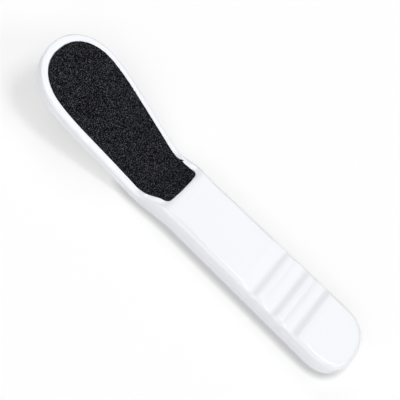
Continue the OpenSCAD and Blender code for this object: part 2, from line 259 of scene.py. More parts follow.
class FootFileStudio(bpy.types.PropertyGroup):
    """Camera, floor and lights."""

    lens: length("Lens", "Focal length of the camera", 84.69)
    sensor: length("Sensor", "Width of the camera's sensor", 36)
    distance: length("Distance", "From the camera to the middle of the file", 528.36)
    aim_height: length("Aim height", "Height above the floor of the middle of the file", 6.5)
    aside: length("Aside", "How far the camera is moved to its left", 2.967)
    above: length("Above", "How far the camera is moved up in its picture", 5.649)
    tilt: angle("Tilt", "Tilt of the camera from straight down", 35.855)
    pan: angle("Pan", "Turn of the camera about the vertical", 0.13)
    roll: angle("Roll", "Roll of the camera about its line of sight", 43.955)
    floor_reach: length("Floor", "Half width of the floor", 4000)
    floor_lift: level("Floor lift", "Light on the floor that only camera and mirrors see", 0.508)
    floor_seen: share("Floor tone", "Share of the floor's colour that the camera sees", 0.45)
    # Painted shade: the floor's colour is darkened close beside the object, as a contact shadow
    # painted in
    painted_contact_shade: share("Contact shade", "Darkening of the floor close beside the object", 0.78)
    painted_shade_reach: length("Contact reach", "Reach of the contact shade on the floor", 4.8)
    sky: level("Sky", "Strength of the light from all round", 0.04)
    # Panels of light on a ceiling at a height of one. Along X and along Y each one grows
    # from the first edge to the second and fades from the third edge to the fourth.
    fill: level("Fill panel", "Strength of the panel over the camera's side", 2.8)
    fill_x: edges("Fill along X", "Edges of the fill panel along X", -1, -0.6, 0.8, 1.2)
    fill_y: edges("Fill along Y", "Edges of the fill panel along Y", -1.85, -1.5, -0.7, -0.45)
    low: level("Low panel", "Strength of the panel low on the camera's side", 1.6)
    low_x: edges("Low along X", "Edges of the low panel along X", -2, -1.5, 1.5, 2)
    low_y: edges("Low along Y", "Edges of the low panel along Y", -5, -4, -1.6, -1.2)
    main: level("Main panel", "Strength of the panel over the butt", 4.6)
    main_x: edges("Main along X", "Edges of the main panel along X", 0.9, 1.1, 1.8, 2.2)
    main_y: edges("Main along Y", "Edges of the main panel along Y", -0.5, -0.3, 0.6, 0.9)
    sheen: level("Sheen panel", "Strength of the panel that the handle's top mirrors", 2.75)
    sheen_x: edges("Sheen along X", "Edges of the sheen panel along X", -0.1, -0.03, 0.3, 0.9)
    sheen_y: edges("Sheen along Y", "Edges of the sheen panel along Y", 0.5, 0.62, 1.1, 1.3)
    glint: level("Glint panel", "Strength of the panel that the handle's near edge mirrors", 10)
    glint_x: edges("Glint along X", "Edges of the glint panel along X", 0, 0.08, 0.45, 0.6)
    glint_y: edges("Glint along Y", "Edges of the glint panel along Y", 0.14, 0.2, 0.42, 0.5)
    slope: level("Slope panel", "Strength of the panel that the ramp mirrors", 5.4)
    slope_x: edges("Slope along X", "Edges of the slope panel along X", -2, -1.7, -0.85, -0.68)
    slope_y: edges("Slope along Y", "Edges of the slope panel along Y", 0.7, 0.8, 1.35, 1.5)


SIZES, GRIT = "foot_file", "foot_file_grit"
COLOURS, STUDIO = "foot_file_colours", "foot_file_studio"


def within(u):
    """Kept between 0 and 1."""
    return np.clip(u, 0, 1)


def ease(u):
    """From 0 to 1 with a soft start and a soft end."""
    v = within(u)
    return v * v * (3 - 2 * v)


class FileShape:
    """The curves of the file: heights along X and widths along X, from the named sizes."""

    BLEND_SHARES = (-0.5, -0.3, -0.1, 0.1, 0.3, 0.5)

    def __init__(self, sizes):
        s = self.s = sizes
        self.x_tip = -s.overall_l / 2
        self.x_butt = s.overall_l / 2
        self.x_widest = self.x_tip + s.widest_l
        self.x_neck = self.x_tip + s.head_l
        self.x_ramp_end = self.x_neck + s.ramp_l
        self.x_tip_round = self.x_tip + s.tip_round_l
        self.x_butt_round = self.x_butt - s.butt_round_l
        self.x_last_crest = self.x_butt - s.butt_flat_l
        self.x_first_crest = self.x_last_crest - s.groove_count * s.groove_pitch
        self.x_bend = self.x_tip + s.bend_place_l
        self.arc_r = s.bend_place_l / (math.sin(s.neck_slope) - math.sin(s.tip_slope))

    def arc_rise(self, reach):
        slope = math.sin(self.s.neck_slope) - reach / self.arc_r
        return self.arc_r * (np.sqrt(1 - slope ** 2) - math.cos(self.s.neck_slope))

    def underside(self, x):
        half = self.s.neck_bend_l / 2
        reach = self.x_bend - x
        bent = self.arc_rise(half) * ((reach + half) / (2 * half)) ** 2
        return np.where(reach <= -half, 0, np.where(reach < half, bent, self.arc_rise(reach)))

    def ramp_share(self, x):
        return ease((x - self.x_neck) / self.s.ramp_l)

    def thickness(self, x):
        s = self.s
        head_t = s.neck_t + (s.tip_t - s.neck_t) * within((self.x_neck - x) / s.head_l)
        return head_t + (s.handle_t - head_t) * self.ramp_share(x)

    def groove(self, x):
        """Depth of the finger grooves: each falls quickly behind its crest and rises again."""
        s = self.s
        place = (x - self.x_first_crest) / s.groove_pitch
        index = np.floor(place)
        u = place - index
        fall = within(u / s.groove_fall_share) ** s.groove_fall_power
        rise = within((u - s.groove_fall_share) / (1 - s.groove_fall_share)) ** s.groove_rise_power
        swing = (1 - np.cos(math.pi * (fall - rise))) / 2
        first = s.first_groove_share
        depth = s.groove_depth * (first + (1 - first) * index / max(1, s.groove_count - 1))
        return np.where((place <= 0) | (index >= s.groove_count), 0, depth * swing)

    def body_top(self, x):
        """Height of the top before the grooves are cut."""
        return self.underside(x) + self.thickness(x)

    def top(self, x):
        return self.body_top(x) - self.groove(x)

    def top_edge(self, x, drop):
        """Height of the rounded top edge, that far below the uncut top, with the grooves in it."""
        groove = self.groove(x)
        soft = np.maximum(np.minimum(self.s.groove_rim, groove), LEAST_RIM)
        mix = within((1 + (drop - groove) / soft) / 2)
        return self.body_top(x) - (groove + (drop - groove) * mix + soft * mix * (1 - mix))

    def bottom_edge(self, x, rise):
        return self.underside(x) + rise

    def seam(self, x):
        return self.underside(x) + self.thickness(x) / 2

    def edge_r(self, x, handle_r):
        s = self.s
        return s.head_edge_r + (handle_r - s.head_edge_r) * ease(
            (x - self.x_neck) / s.ramp_l - s.edge_start_share)

    def top_edge_r(self, x):
        return self.edge_r(x, self.s.handle_edge_r)

    def bottom_edge_r(self, x):
        return self.edge_r(x, self.s.under_edge_r)

    def face_t(self, x):
        s = self.s
        return s.head_face_t + (s.wall_t - s.head_face_t) * self.ramp_share(x)

    def inner_r(self, outer_r):
        return np.maximum(outer_r - self.s.wall_t, self.s.wall_t * LEAST_INNER_SHARE)

    def half_w(self, x):
        """Half of the width: straight stretches blended into each other, rounded at both ends."""
        s = self.s
        places = (self.x_widest, self.x_neck, self.x_ramp_end, self.x_butt_round)
        widths = (s.head_w / 2, s.neck_w / 2, s.handle_front_w / 2, s.handle_back_w / 2)
        straight = np.mean([np.interp(x + u * s.outline_blend_l, places, widths)
                            for u in self.BLEND_SHARES], axis=0)
        tip = within((self.x_tip_round - x) / s.tip_round_l)
        butt = within((x - self.x_butt_round) / s.butt_round_l)
        return (straight * (1 - tip ** s.tip_square) ** (1 / s.tip_square)
                * (1 - butt ** s.butt_square) ** (1 / s.butt_square))

    def outline(self, step, groove_step):
        """One side of the outline from the tip to the butt, and its outward directions."""
        turn = np.linspace(0, math.pi / 2, END_POINTS)
        x = np.unique(np.concatenate([
            self.x_tip_round - self.s.tip_round_l * np.cos(turn),
            np.linspace(self.x_tip_round, self.x_butt_round, SIDE_POINTS),
            self.x_butt_round + self.s.butt_round_l * np.sin(turn)]))
        points = np.stack([x, self.half_w(x)], axis=1)
        points[[0, -1], 1] = 0
        side = spread_points(points, np.where(
            (x > self.x_first_crest) & (x < self.x_last_crest + step), groove_step, step))
        along = np.gradient(side, axis=0)
        outward = np.stack([-along[:, 1], along[:, 0]], axis=1)
        outward /= np.linalg.norm(outward, axis=1)[:, None]
        outward[0] = (-1, 0)
        outward[-1] = (1, 0)
        return side, outward

    def pad_side(self, end_l, foot_half_w, clear, step):
        """One side of a pad: it follows the head, narrows to its foot and ends in a bowed edge."""
        s = self.s
        x_end = self.x_tip + end_l
        x_taper = x_end - s.foot_taper_l
        side, outward = self.outline(step, step)
        tip_part = np.maximum(0, -outward[:, :1])
        edge = side - (s.pad_inset + (s.pad_tip_inset - s.pad_inset) * tip_part - clear) * outward
        edge = edge[edge[:, 0] < x_taper - step / 2]
        u = np.linspace(0, 1, TAPER_POINTS)
        start_w = float(self.half_w(np.array([x_taper]))[0]) - s.pad_inset
        taper = np.stack([x_taper + (s.foot_taper_l - s.foot_corner_r) * u,
                          start_w + (foot_half_w - start_w) * ease(u) + clear], axis=1)
        turn = np.linspace(0, math.pi / 2, CORNER_POINTS)[1:]
        corner_r = s.foot_corner_r + clear
        corner = np.stack([x_end - s.foot_corner_r + corner_r * np.sin(turn),
                           foot_half_w - s.foot_corner_r + corner_r * np.cos(turn)], axis=1)
        v = np.linspace(1, 0, FOOT_POINTS)[1:]
        foot_w = foot_half_w - s.foot_corner_r
        foot = np.stack([x_end + clear + s.foot_bow * (1 - v * v), foot_w * v], axis=1)
        return np.concatenate([edge, taper, corner, foot])


def spread_points(points, steps):
    """Points spread anew along a line, so that they lie about steps apart."""
    pieces = np.linalg.norm(np.diff(points, axis=0), axis=1)
    measure = np.concatenate([[0], np.cumsum(2 * pieces / (steps[1:] + steps[:-1]))])
    wanted = np.linspace(0, measure[-1], int(round(measure[-1])) + 1)
    return np.stack([np.interp(wanted, measure, points[:, k]) for k in (0, 1)], axis=1)


def mirrored(side):
    """A closed ring from one side that starts and ends on the middle line."""
    back = side[-2:0:-1].copy()
    back[:, 1] *= -1
    return np.concatenate([side, back])


def in_space(ring, height):
    """A flat ring in space, at heights that follow from X."""
    return np.column_stack([ring, height(ring[:, 0])])


class Skin:
    """Points and faces that grow into one closed mesh."""

    def __init__(self):
        self.points = []
        self.faces = []

    def ring(self, points):
        start = len(self.points)
        self.points.extend(map(tuple, points))
        return list(range(start, len(self.points)))

    def wall(self, first, second):
        """Faces between two rings of the same length."""
        n = len(first)
        self.faces.extend((first[i], first[(i + 1) % n], second[(i + 1) % n], second[i])
                          for i in range(n))

    def walls(self, rings):
        for first, second in zip(rings, rings[1:]):
            self.wall(first, second)

    def strips(self, ring):
        """A cap of strips across the width, over a ring that mirrors itself."""
        n = len(ring)
        for i in range(n // 2):
            corners = (ring[i], ring[i + 1], ring[(n - i - 1) % n], ring[-i % n])
            self.faces.append(tuple(dict.fromkeys(corners)))

    def fill(self, outer, hole, between, height):
        """Triangles from an outer ring to the ring of a hole, through the points between them.

        Both rings run clockwise, and the triangulation wants them the other way round."""
        known = outer + hole
        flat = [Vector(self.points[i][:2]) for i in known]
        flat += [Vector(p) for p in between]
        loops = [list(range(len(outer)))[::-1]]
        if hole:
            loops.append(list(range(len(outer), len(known)))[::-1])
        places, _, triangles, sources, _, owners = delaunay_2d_cdt(
            flat, [], loops, FILL_INSIDE, FILL_MERGE)
        names = []
        for place, source in zip(places, sources):
            if source and source[0] < len(known):
                names.append(known[source[0]])
            else:
                names.append(len(self.points))
                self.points.append((place.x, place.y, height(place.x, place.y)))
        self.faces.extend(tuple(names[i] for i in triangle)
                          for triangle, owner in zip(triangles, owners) if owner == [0])

    def mesh(self, name, sharp):
        mesh = bpy.data.meshes.new(name)
        mesh.from_pydata(self.points, [], self.faces)
        tidy = bmesh.new()
        tidy.from_mesh(mesh)
        loose = [v for v in tidy.verts if not v.link_faces]
        bmesh.ops.delete(tidy, geom=loose, context="VERTS")
        bmesh.ops.recalc_face_normals(tidy, faces=tidy.faces)
        tidy.to_mesh(mesh)
        tidy.free()
        mesh.shade_smooth()
        mesh.set_sharp_from_angle(angle=sharp)
        return mesh


def far_from(ring, points, distance):
    """The points that lie further than that from every point of a ring."""
    kept = []
    for chunk in np.array_split(points, max(1, len(points) // CHUNK)):
        gaps = np.linalg.norm(chunk[:, None] - ring[None], axis=2).min(axis=1)
        kept.append(chunk[gaps > distance])
    return np.concatenate(kept)


def inside(ring, points):
    """Which of the points lie inside a closed ring."""
    found = np.zeros(len(points), bool)
    for (x1, y1), (x2, y2) in zip(ring, np.roll(ring, -1, axis=0)):
        crosses = (y1 > points[:, 1]) != (y2 > points[:, 1])
        if y1 != y2:
            found ^= crosses & (points[:, 0] < (x2 - x1) * (points[:, 1] - y1) / (y2 - y1) + x1)
    return found


def dress(name, mesh, material, slot, replaced=()):
    """Puts a piece into the scene, on the file's one body."""
    piece = bpy.data.objects.new(name, mesh)
    bpy.context.scene.collection.objects.link(piece)
    mesh.materials.clear()
    mesh.materials.append(material)
    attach(piece, "root")
    if replaced:
        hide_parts(*replaced)


class Look:
    """A new material and short ways to fill its node tree."""

    def __init__(self, name):
        self.material = bpy.data.materials.new(name)
        self.material.use_nodes = True
        self.tree = self.material.node_tree
        self.shader = self.tree.nodes["Principled BSDF"]
        self.place = self.node("ShaderNodeTexCoord").outputs["Object"]

    def node(self, kind, **settings):
        found = self.tree.nodes.new(kind)
        for key, value in settings.items():
            if key in found.inputs:
                found.inputs[key].default_value = value
            else:
                setattr(found, key.lower(), value)
        return found

    def join(self, source, target):
        self.tree.links.new(source, target)

    def set(self, **values):
        for key, value in values.items():
            self.shader.inputs[key.replace("_", " ")].default_value = value

    def noise(self, size, detail=2.0, roughness=0.5, stretch=(1, 1, 1)):
        """Noise whose grains are about as long as size, in metres."""
        scale = self.node("ShaderNodeMapping", Scale=stretch)
        self.join(self.place, scale.inputs["Vector"])
        found = self.node("ShaderNodeTexNoise", Scale=1 / size, Detail=detail, Roughness=roughness)
        self.join(scale.outputs["Vector"], found.inputs["Vector"])
        return found.outputs["Fac"]

    def cells(self, size, output="Distance"):
        found = self.node("ShaderNodeTexVoronoi", Scale=1 / size)
        self.join(self.place, found.inputs["Vector"])
        return found.outputs[output]

    def ramp(self, value, from_low, from_high, to_low, to_high):
        found = self.node("ShaderNodeMapRange")
        for key, number in (("From Min", from_low), ("From Max", from_high),
                            ("To Min", to_low), ("To Max", to_high)):
            found.inputs[key].default_value = number
        self.join(value, found.inputs["Value"])
        return found.outputs["Result"]

    def tint(self, value, low, high):
        """A colour that runs from low to high with a value from 0 to 1."""
        found = self.node("ShaderNodeMix", data_type="RGBA")
        self.join(value, found.inputs["Factor"])
        found.inputs[MIX_LOW].default_value = (*low, 1)
        found.inputs[MIX_HIGH].default_value = (*high, 1)
        return found.outputs[MIX_RESULT]

    def bump(self, value, height, strength=1.0, below=None):
        found = self.node("ShaderNodeBump", Strength=strength, Distance=height)
        self.join(value, found.inputs["Height"])
        if below is not None:
            self.join(below, found.inputs["Normal"])
        return found.outputs["Normal"]


def scaled(rgb, factor):
    return tuple(min(1.0, c * factor) for c in rgb)


FLOW_SIZE, FLOW_DETAIL, FLOW_STRETCH, FLOW_TINTS = 18 * MM, 3, (0.3, 1, 1), (0.992, 1.008)
SCUFF_SIZE, SCUFF_DETAIL, SCUFF_STRETCH, SCUFF_TATTER = 0.9 * MM, 4, (0.15, 1, 1), 0.7
SCUFF_RANGE, SCUFF_ROUGHNESS = (0.35, 0.75), (0.85, 1.35)
PEEL_SIZE, PEEL_DETAIL, PEEL_HEIGHT = 2.6 * MM, 1, 0.004 * MM
SKIN_SIZE, SKIN_DETAIL, SKIN_HEIGHT = 0.35 * MM, 2, 0.0012 * MM
PLASTIC_IOR = 1.49


def plastic_look(colours):
    """Glossy injection-moulded plastic: flow marks, orange peel and fine handling scuffs."""
    look = Look("moulded_plastic")
    flow = look.noise(FLOW_SIZE, FLOW_DETAIL, stretch=FLOW_STRETCH)
    white = look.tint(flow, *(scaled(colours.plastic, tint) for tint in FLOW_TINTS))
    look.join(white, look.shader.inputs["Base Color"])
    scuffs = look.noise(SCUFF_SIZE, SCUFF_DETAIL, SCUFF_TATTER, SCUFF_STRETCH)
    look.join(look.ramp(scuffs, *SCUFF_RANGE, *(colours.plastic_rough * part
                                               for part in SCUFF_ROUGHNESS)),
              look.shader.inputs["Roughness"])
    peel = look.bump(look.noise(PEEL_SIZE, PEEL_DETAIL), PEEL_HEIGHT)
    skin = look.bump(look.noise(SKIN_SIZE, SKIN_DETAIL), SKIN_HEIGHT, below=peel)
    look.join(skin, look.shader.inputs["Normal"])
    look.set(IOR=PLASTIC_IOR)
    return look.material


# Abrasive: sizes and heights are shares of the mean grain
CLUMP_SIZE, CLUMP_DETAIL, CLUMP_RANGE, CLUMP_LEAST = 1.25, 1, (0.53, 0.63), 0.02
RESIN_TINTS, RESIN_ROUGHNESS = (0.02, 8), (0.38, 0.75)
LUMP_HEIGHT, LUMP_STRENGTH = 0.5, 0.8
PIT_SIZE, PIT_DETAIL, PIT_HEIGHT, PIT_STRENGTH = 0.4, 3, 0.2, 0.7
FACET_TINTS, FACET_ROUGHNESS = (0.03, 30), (0.55, 0.28)
CHIP_SIZE, CHIP_DETAIL, CHIP_HEIGHT, CHIP_STRENGTH = 0.3, 2, 0.1, 0.5


def grit_look(name, resin, grain, shine):
    """Dark resin over abrasive grains: every grain has its own tone and facets."""
    look = Look(name)
    tone = look.cells(grain, "Color")
    clumps = look.ramp(look.noise(grain * CLUMP_SIZE, CLUMP_DETAIL), *CLUMP_RANGE, 0, 1)
    look.join(look.tint(clumps, *(scaled(resin, tint) for tint in RESIN_TINTS)),
              look.shader.inputs["Base Color"])
    look.join(look.ramp(tone, 0, 1, *RESIN_ROUGHNESS), look.shader.inputs["Roughness"])
    lumps = look.bump(look.cells(grain), grain * LUMP_HEIGHT, LUMP_STRENGTH)
    pits = look.noise(grain * PIT_SIZE, PIT_DETAIL)
    look.join(look.bump(pits, grain * PIT_HEIGHT, PIT_STRENGTH, below=lumps),
              look.shader.inputs["Normal"])
    look.set(Specular_IOR_Level=shine)
    return look.material


def grain_look(name, resin, grain, shine):
    """The grains that stand out of the resin, each with a tone of its own."""
    look = Look(name)
    tone = look.node("ShaderNodeAttribute")
    tone.attribute_name = "tone"
    light = look.node("ShaderNodeMath", operation="MULTIPLY")
    look.join(tone.outputs["Fac"], light.inputs[0])
    clumps = look.noise(grain * CLUMP_SIZE, CLUMP_DETAIL)
    look.join(look.ramp(clumps, *CLUMP_RANGE, CLUMP_LEAST, 1), light.inputs[1])
    look.join(look.tint(light.outputs[0], *(scaled(resin, tint) for tint in FACET_TINTS)),
              look.shader.inputs["Base Color"])
    look.join(look.ramp(tone.outputs["Fac"], 0, 1, *FACET_ROUGHNESS),
              look.shader.inputs["Roughness"])
    chips = look.noise(grain * CHIP_SIZE, CHIP_DETAIL)
    look.join(look.bump(chips, grain * CHIP_HEIGHT, CHIP_STRENGTH), look.shader.inputs["Normal"])
    look.set(Specular_IOR_Level=shine)
    return look.material


THREAD_PITCH, THREAD_WAVE, THREAD_HEIGHT = 1.1 * MM, 0.6, 0.05 * MM
THREAD_TINTS = (0.6, 1.5)
FLUFF_SIZE, FLUFF_RANGE, FLUFF_ROUGHNESS = 0.2 * MM, (0.3, 0.7), (0.75, 0.95)
CLOTH_SHINE = 0.25


def cloth_look(colours):
    """Woven backing cloth: fine threads both ways, with loose fibres."""
    look = Look("backing_cloth_weave")
    threads = []
    for axis in ("X", "Y"):
        wave = look.node("ShaderNodeTexWave", Scale=1 / THREAD_PITCH, Distortion=THREAD_WAVE)
        wave.bands_direction = axis
        look.join(look.place, wave.inputs["Vector"])
        threads.append(wave.outputs["Fac"])
    weave = look.node("ShaderNodeMath", operation="MULTIPLY")
    look.join(threads[0], weave.inputs[0])
    look.join(threads[1], weave.inputs[1])
    look.join(look.tint(weave.outputs[0], *(scaled(colours.cloth, tint) for tint in THREAD_TINTS)),
              look.shader.inputs["Base Color"])
    look.join(look.ramp(look.noise(FLUFF_SIZE), *FLUFF_RANGE, *FLUFF_ROUGHNESS),
              look.shader.inputs["Roughness"])
    look.join(look.bump(weave.outputs[0], THREAD_HEIGHT), look.shader.inputs["Normal"])
    look.set(Specular_IOR_Level=CLOTH_SHINE)
    return look.material


BUBBLE_SIZE, BUBBLE_RANGE, BUBBLE_HEIGHT = 0.5 * MM, (0.1, 0.6), 0.02 * MM
FILM_TINTS = (0.75, 1.15)
FILM_SIZE, FILM_RANGE, FILM_ROUGHNESS = 0.8 * MM, (0.3, 0.7), (0.25, 0.45)


def adhesive_look(colours):
    """Pale amber adhesive film with tiny bubbles."""
    look = Look("adhesive_film")
    bubbles = look.cells(BUBBLE_SIZE)
    look.join(look.tint(look.ramp(bubbles, *BUBBLE_RANGE, 0, 1),
                        *(scaled(colours.adhesive, tint) for tint in FILM_TINTS)),
              look.shader.inputs["Base Color"])
    look.join(look.ramp(look.noise(FILM_SIZE), *FILM_RANGE, *FILM_ROUGHNESS),
              look.shader.inputs["Roughness"])
    look.join(look.bump(bubbles, BUBBLE_HEIGHT), look.shader.inputs["Normal"])
    return look.material


def quarter(first, last, steps):
    """Angles from first to last, in degrees, as radians."""
    return np.radians(np.linspace(first, last, steps + 1))


def shell_mesh(name, shape, face, edge, edge_r, up, tongue, pad_end, foot_half_w):
    """One half of the moulding. face is the height of its outer face and edge that of its rounded
    edge, up is 1 or -1 for the way that it faces, and tongue is True for the half that carries
    the tongue."""
    s = shape.s
    side, outward = shape.outline(OUTLINE_STEP, GROOVE_STEP)
    x = side[:, 0]
    skin = Skin()

    def inset_ring(insets, height):
        return skin.ring(in_space(mirrored(side - np.reshape(insets, (-1, 1)) * outward), height))

    rounding = [inset_ring(edge_r(x) * (1 - math.cos(a)),
                           lambda px, a=a: edge(px, edge_r(px) * (1 - math.sin(a))))
                for a in quarter(90, 0, EDGE_STEPS)]
    seam_round = [inset_ring(s.seam_round_r * (1 - math.cos(a)) + 0 * x,
                             lambda px, a=a: shape.seam(px) + up * (
                                 s.seam_gap / 2 + s.seam_round_r * (1 - math.sin(a))))
                  for a in quarter(0, 90, SEAM_STEPS)]
    half_wall = s.wall_t / 2
    step_in = half_wall + s.tongue_gap if tongue else half_wall
    step_up = -s.tongue_h if tongue else s.tongue_h + s.tongue_gap
    joint = [inset_ring(inset + 0 * x,
                        lambda px, rise=rise: shape.seam(px) + up * (s.seam_gap / 2 + rise))
             for inset, rise in ((step_in, 0), (step_in, step_up), (s.wall_t, step_up))]
    inner = [inset_ring(s.wall_t + shape.inner_r(edge_r(x)) * (1 - math.cos(a)),
                        lambda px, a=a: face(px) - up * (
                            shape.face_t(px) + shape.inner_r(edge_r(px)) * (1 - math.sin(a))))
             for a in quarter(0, 90, INNER_EDGE_STEPS)]
    skin.walls(rounding + seam_round + joint + inner)
    skin.strips(inner[-1])

    def pad_ring(clear, drop):
        ring = mirrored(shape.pad_side(pad_end, foot_half_w, clear, OUTLINE_STEP))
        return skin.ring(in_space(ring, lambda px: face(px) - up * drop))

    lip_r = s.recess_lip_r
    recess = [pad_ring(s.pad_gap + lip_r * (1 - math.sin(a)), lip_r * (1 - math.cos(a)))
              for a in quarter(0, 90, LIP_STEPS)]
    recess.append(pad_ring(s.pad_gap, s.recess_d))
    skin.walls(recess)
    skin.strips(recess[-1])

    border = np.array([skin.points[i][:2] for i in rounding[0]])
    lip = np.array([skin.points[i][:2] for i in recess[0]])
    columns = x[(x > shape.x_tip) & (x < shape.x_butt)]
    # Every second column is enough where there are no grooves
    columns = np.concatenate([columns[columns < shape.x_first_crest][::2],
                              columns[columns >= shape.x_first_crest]])
    rows = np.arange(-s.head_w / 2, s.head_w / 2, CAP_STEP)
    grid = np.array([(cx, cy) for cx in columns for cy in rows])
    grid = grid[inside(border, grid) & ~inside(lip, grid)]
    grid = far_from(np.concatenate([border, lip]), grid, OUTLINE_STEP * CLEAR_SHARE)
    skin.fill(rounding[0], recess[0], grid, lambda px, py: float(face(np.array([px]))[0]))
    return skin.mesh(name, SMOOTH_LIMIT)


def wander(ring, amount, size, seed):
    """A ring whose points stray sideways by up to that amount, in ripples of that size."""
    along = np.roll(ring, -1, axis=0) - np.roll(ring, 1, axis=0)
    outward = np.stack([-along[:, 1], along[:, 0]], axis=1)
    outward /= np.linalg.norm(outward, axis=1)[:, None]
    stray = np.array([noise.noise(Vector((px / size, py / size, seed)))
                      + CUT_RIPPLE_SHARE * noise.noise(Vector((
                          FINE_RIPPLE * px / size, FINE_RIPPLE * py / size,
                          seed + CUT_RIPPLE_SEED)))
                      for px, py in ring])
    return ring + amount * stray[:, None] * outward


def frayed(ring, place, width, reach):
    """A ring whose far side sticks out in a short loose nib, as cloth does where it is cut."""
    share = np.clip(1 - 2 * np.abs(ring[:, 0] - place) / width, 0, None) * (ring[:, 1] > 0)
    return ring + reach * share[:, None] * np.array(FRAY_WAY)


class Sheet:
    """One abrasive sheet: where its grit lies and how its surface is lumped."""

    def __init__(self, shape, grit, face, up, end_l, foot_half_w, thickness, lump, lump_h, seed,
                 fray=0):
        self.face = face
        self.up = up
        self.thickness = thickness
        self.floor = -shape.s.recess_d + shape.s.grit_floor
        self.lump = lump
        self.lump_h = lump_h
        self.seed = seed
        side = shape.pad_side(end_l, foot_half_w, 0, grit.mesh_step)
        self.ring = wander(mirrored(spread_points(side, np.full(len(side), grit.mesh_step))),
                           grit.cut_rough, CUT_RIPPLE, seed)
        self.torn = frayed(self.ring, grit.fray_x, grit.fray_l, fray)

    def height(self, px, py):
        """Height of the resin, which lies in lumps below the top of the layer."""
        at = Vector((px, py, self.seed)) / self.lump
        lumps = noise.noise(at) + LUMP_RIPPLE_SHARE * noise.noise(at * FINE_RIPPLE)
        return float(self.face(np.array([px]))[0]) + self.up * (
            self.floor + self.thickness - self.lump_h * (1 - LUMP_DEPTH * lumps))

    def grit_mesh(self, name, step):
        random = np.random.default_rng(self.seed)
        skin = Skin()
        top = skin.ring([(px, py, self.height(px, py)) for px, py in self.torn])
        worn = skin.ring(in_space(
            wander(self.torn, WORN_ROUGH, WORN_RIPPLE, self.seed + WORN_SEED),
            lambda px: self.face(px) + self.up * (self.floor + self.thickness * WORN_SHARE)))
        foot = skin.ring(in_space(self.ring, lambda px: self.face(px) + self.up * self.floor))
        skin.walls([top, worn, foot])
        skin.strips(foot)
        low, high = self.ring.min(axis=0), self.ring.max(axis=0)
        grid = np.array([(gx, gy) for gx in np.arange(low[0], high[0], step)
                         for gy in np.arange(low[1], high[1], step)])
        grid += random.uniform(-RESIN_JITTER, RESIN_JITTER, grid.shape) * step
        grid = far_from(self.ring, grid[inside(self.ring, grid)], step * CLEAR_SHARE)
        skin.fill(top, [], grid, self.height)
        return skin.mesh(name, RESIN_SMOOTH_LIMIT)

    def grain_mesh(self, name, number, size):
        """Angular grains, sunk into the resin to about half their height."""
        random = np.random.default_rng(self.seed + GRAIN_SEED)
        low, high = self.ring.min(axis=0), self.ring.max(axis=0)
        area = np.prod(high - low)
        step = math.sqrt(area / (number * GRAIN_SPARE))
        grid = np.array([(gx, gy) for gx in np.arange(low[0], high[0], step)
                         for gy in np.arange(low[1], high[1], step)])
        grid += random.uniform(-GRAIN_JITTER, GRAIN_JITTER, grid.shape) * step
        grid = far_from(self.ring, grid[inside(self.ring, grid)], size * GRAIN_CLEAR)
        grid = grid[random.permutation(len(grid))[:number]]
        n = len(grid)
        corners = np.array(GRAIN_CORNER_WAYS)
        # A random turn for each grain, as a quaternion and then as a matrix
        spin = random.normal(size=(n, 4))
        spin /= np.linalg.norm(spin, axis=1)[:, None]
        w, a, b, c = spin.T
        turn = np.array([[1 - 2 * (b * b + c * c), 2 * (a * b - c * w), 2 * (a * c + b * w)],
                         [2 * (a * b + c * w), 1 - 2 * (a * a + c * c), 2 * (b * c - a * w)],
                         [2 * (a * c - b * w), 2 * (b * c + a * w), 1 - 2 * (a * a + b * b)]])
        spans = (size / 2 * random.uniform(*GRAIN_SIZES, (n, 1, 1))
                 * random.uniform(*GRAIN_REACHES, (n, len(corners), 1)))
        grains = np.einsum("ijn,nkj->nki", turn, corners[None] * spans)
        grains[:, :, 2] *= GRAIN_FLATNESS
        seats = np.array([self.height(px, py) for px, py in grid])
        sunk = random.uniform(*GRAIN_SUNK, n) * size
        grains += np.column_stack([grid, seats + self.up * sunk])[:, None]
        mesh = bpy.data.meshes.new(name)
        faces = np.array(GRAIN_FACES) + len(corners) * np.arange(n)[:, None, None]
        mesh.from_pydata(grains.reshape(-1, 3).tolist(), [], faces.reshape(-1, 3).tolist())
        tone = mesh.attributes.new("tone", "FLOAT", "POINT")
        tones = random.beta(*GRAIN_TONES, n)
        tone.data.foreach_set("value", np.repeat(tones, len(corners)).astype(np.float32))
        return mesh


def sheets(context):
    """The front and the back sheet, from the scene's sizes."""
    s, grit = getattr(context.scene, SIZES), getattr(context.scene, GRIT)
    shape = FileShape(s)
    front = Sheet(shape, grit, shape.top, 1, s.front_pad_end, s.front_foot_half_w, s.coarse_t,
                  grit.clump, grit.clump_h, FRONT_SEED, grit.fray)
    back = Sheet(shape, grit, shape.underside, -1, s.back_pad_end, s.back_foot_half_w, s.fine_t,
                 grit.clump * FINE_CLUMP_SHARE, grit.clump_h * FINE_CLUMP_SHARE, BACK_SEED)
    return front, back


class FOOTFILE_OT_upper_shell(bpy.types.Operator):
    """Build the upper half of the moulding, with its grooves and the recess of the front pad"""

    bl_idname = "foot_file.upper_shell"
    bl_label = "Upper Shell"

    def execute(self, context):
        s = getattr(context.scene, SIZES)
        shape = FileShape(s)
        mesh = shell_mesh("upper_shell_moulding", shape, shape.top, shape.top_edge,
                          shape.top_edge_r, 1, False, s.front_pad_end, s.front_foot_half_w)
        dress("upper_shell_moulding", mesh, plastic_look(getattr(context.scene, COLOURS)),
              "shell_plastic", ("upper_shell",))
        return {"FINISHED"}


class FOOTFILE_OT_lower_shell(bpy.types.Operator):
    """Build the lower half of the moulding, with its tongue and the recess of the back pad"""

    bl_idname = "foot_file.lower_shell"
    bl_label = "Lower Shell"

    def execute(self, context):
        s = getattr(context.scene, SIZES)
        shape = FileShape(s)
        mesh = shell_mesh("lower_shell_moulding", shape, shape.underside, shape.bottom_edge,
                          shape.bottom_edge_r, -1, True, s.back_pad_end, s.back_foot_half_w)
        dress("lower_shell_moulding", mesh, plastic_look(getattr(context.scene, COLOURS)),
              "shell_plastic", ("lower_shell",))
        return {"FINISHED"}


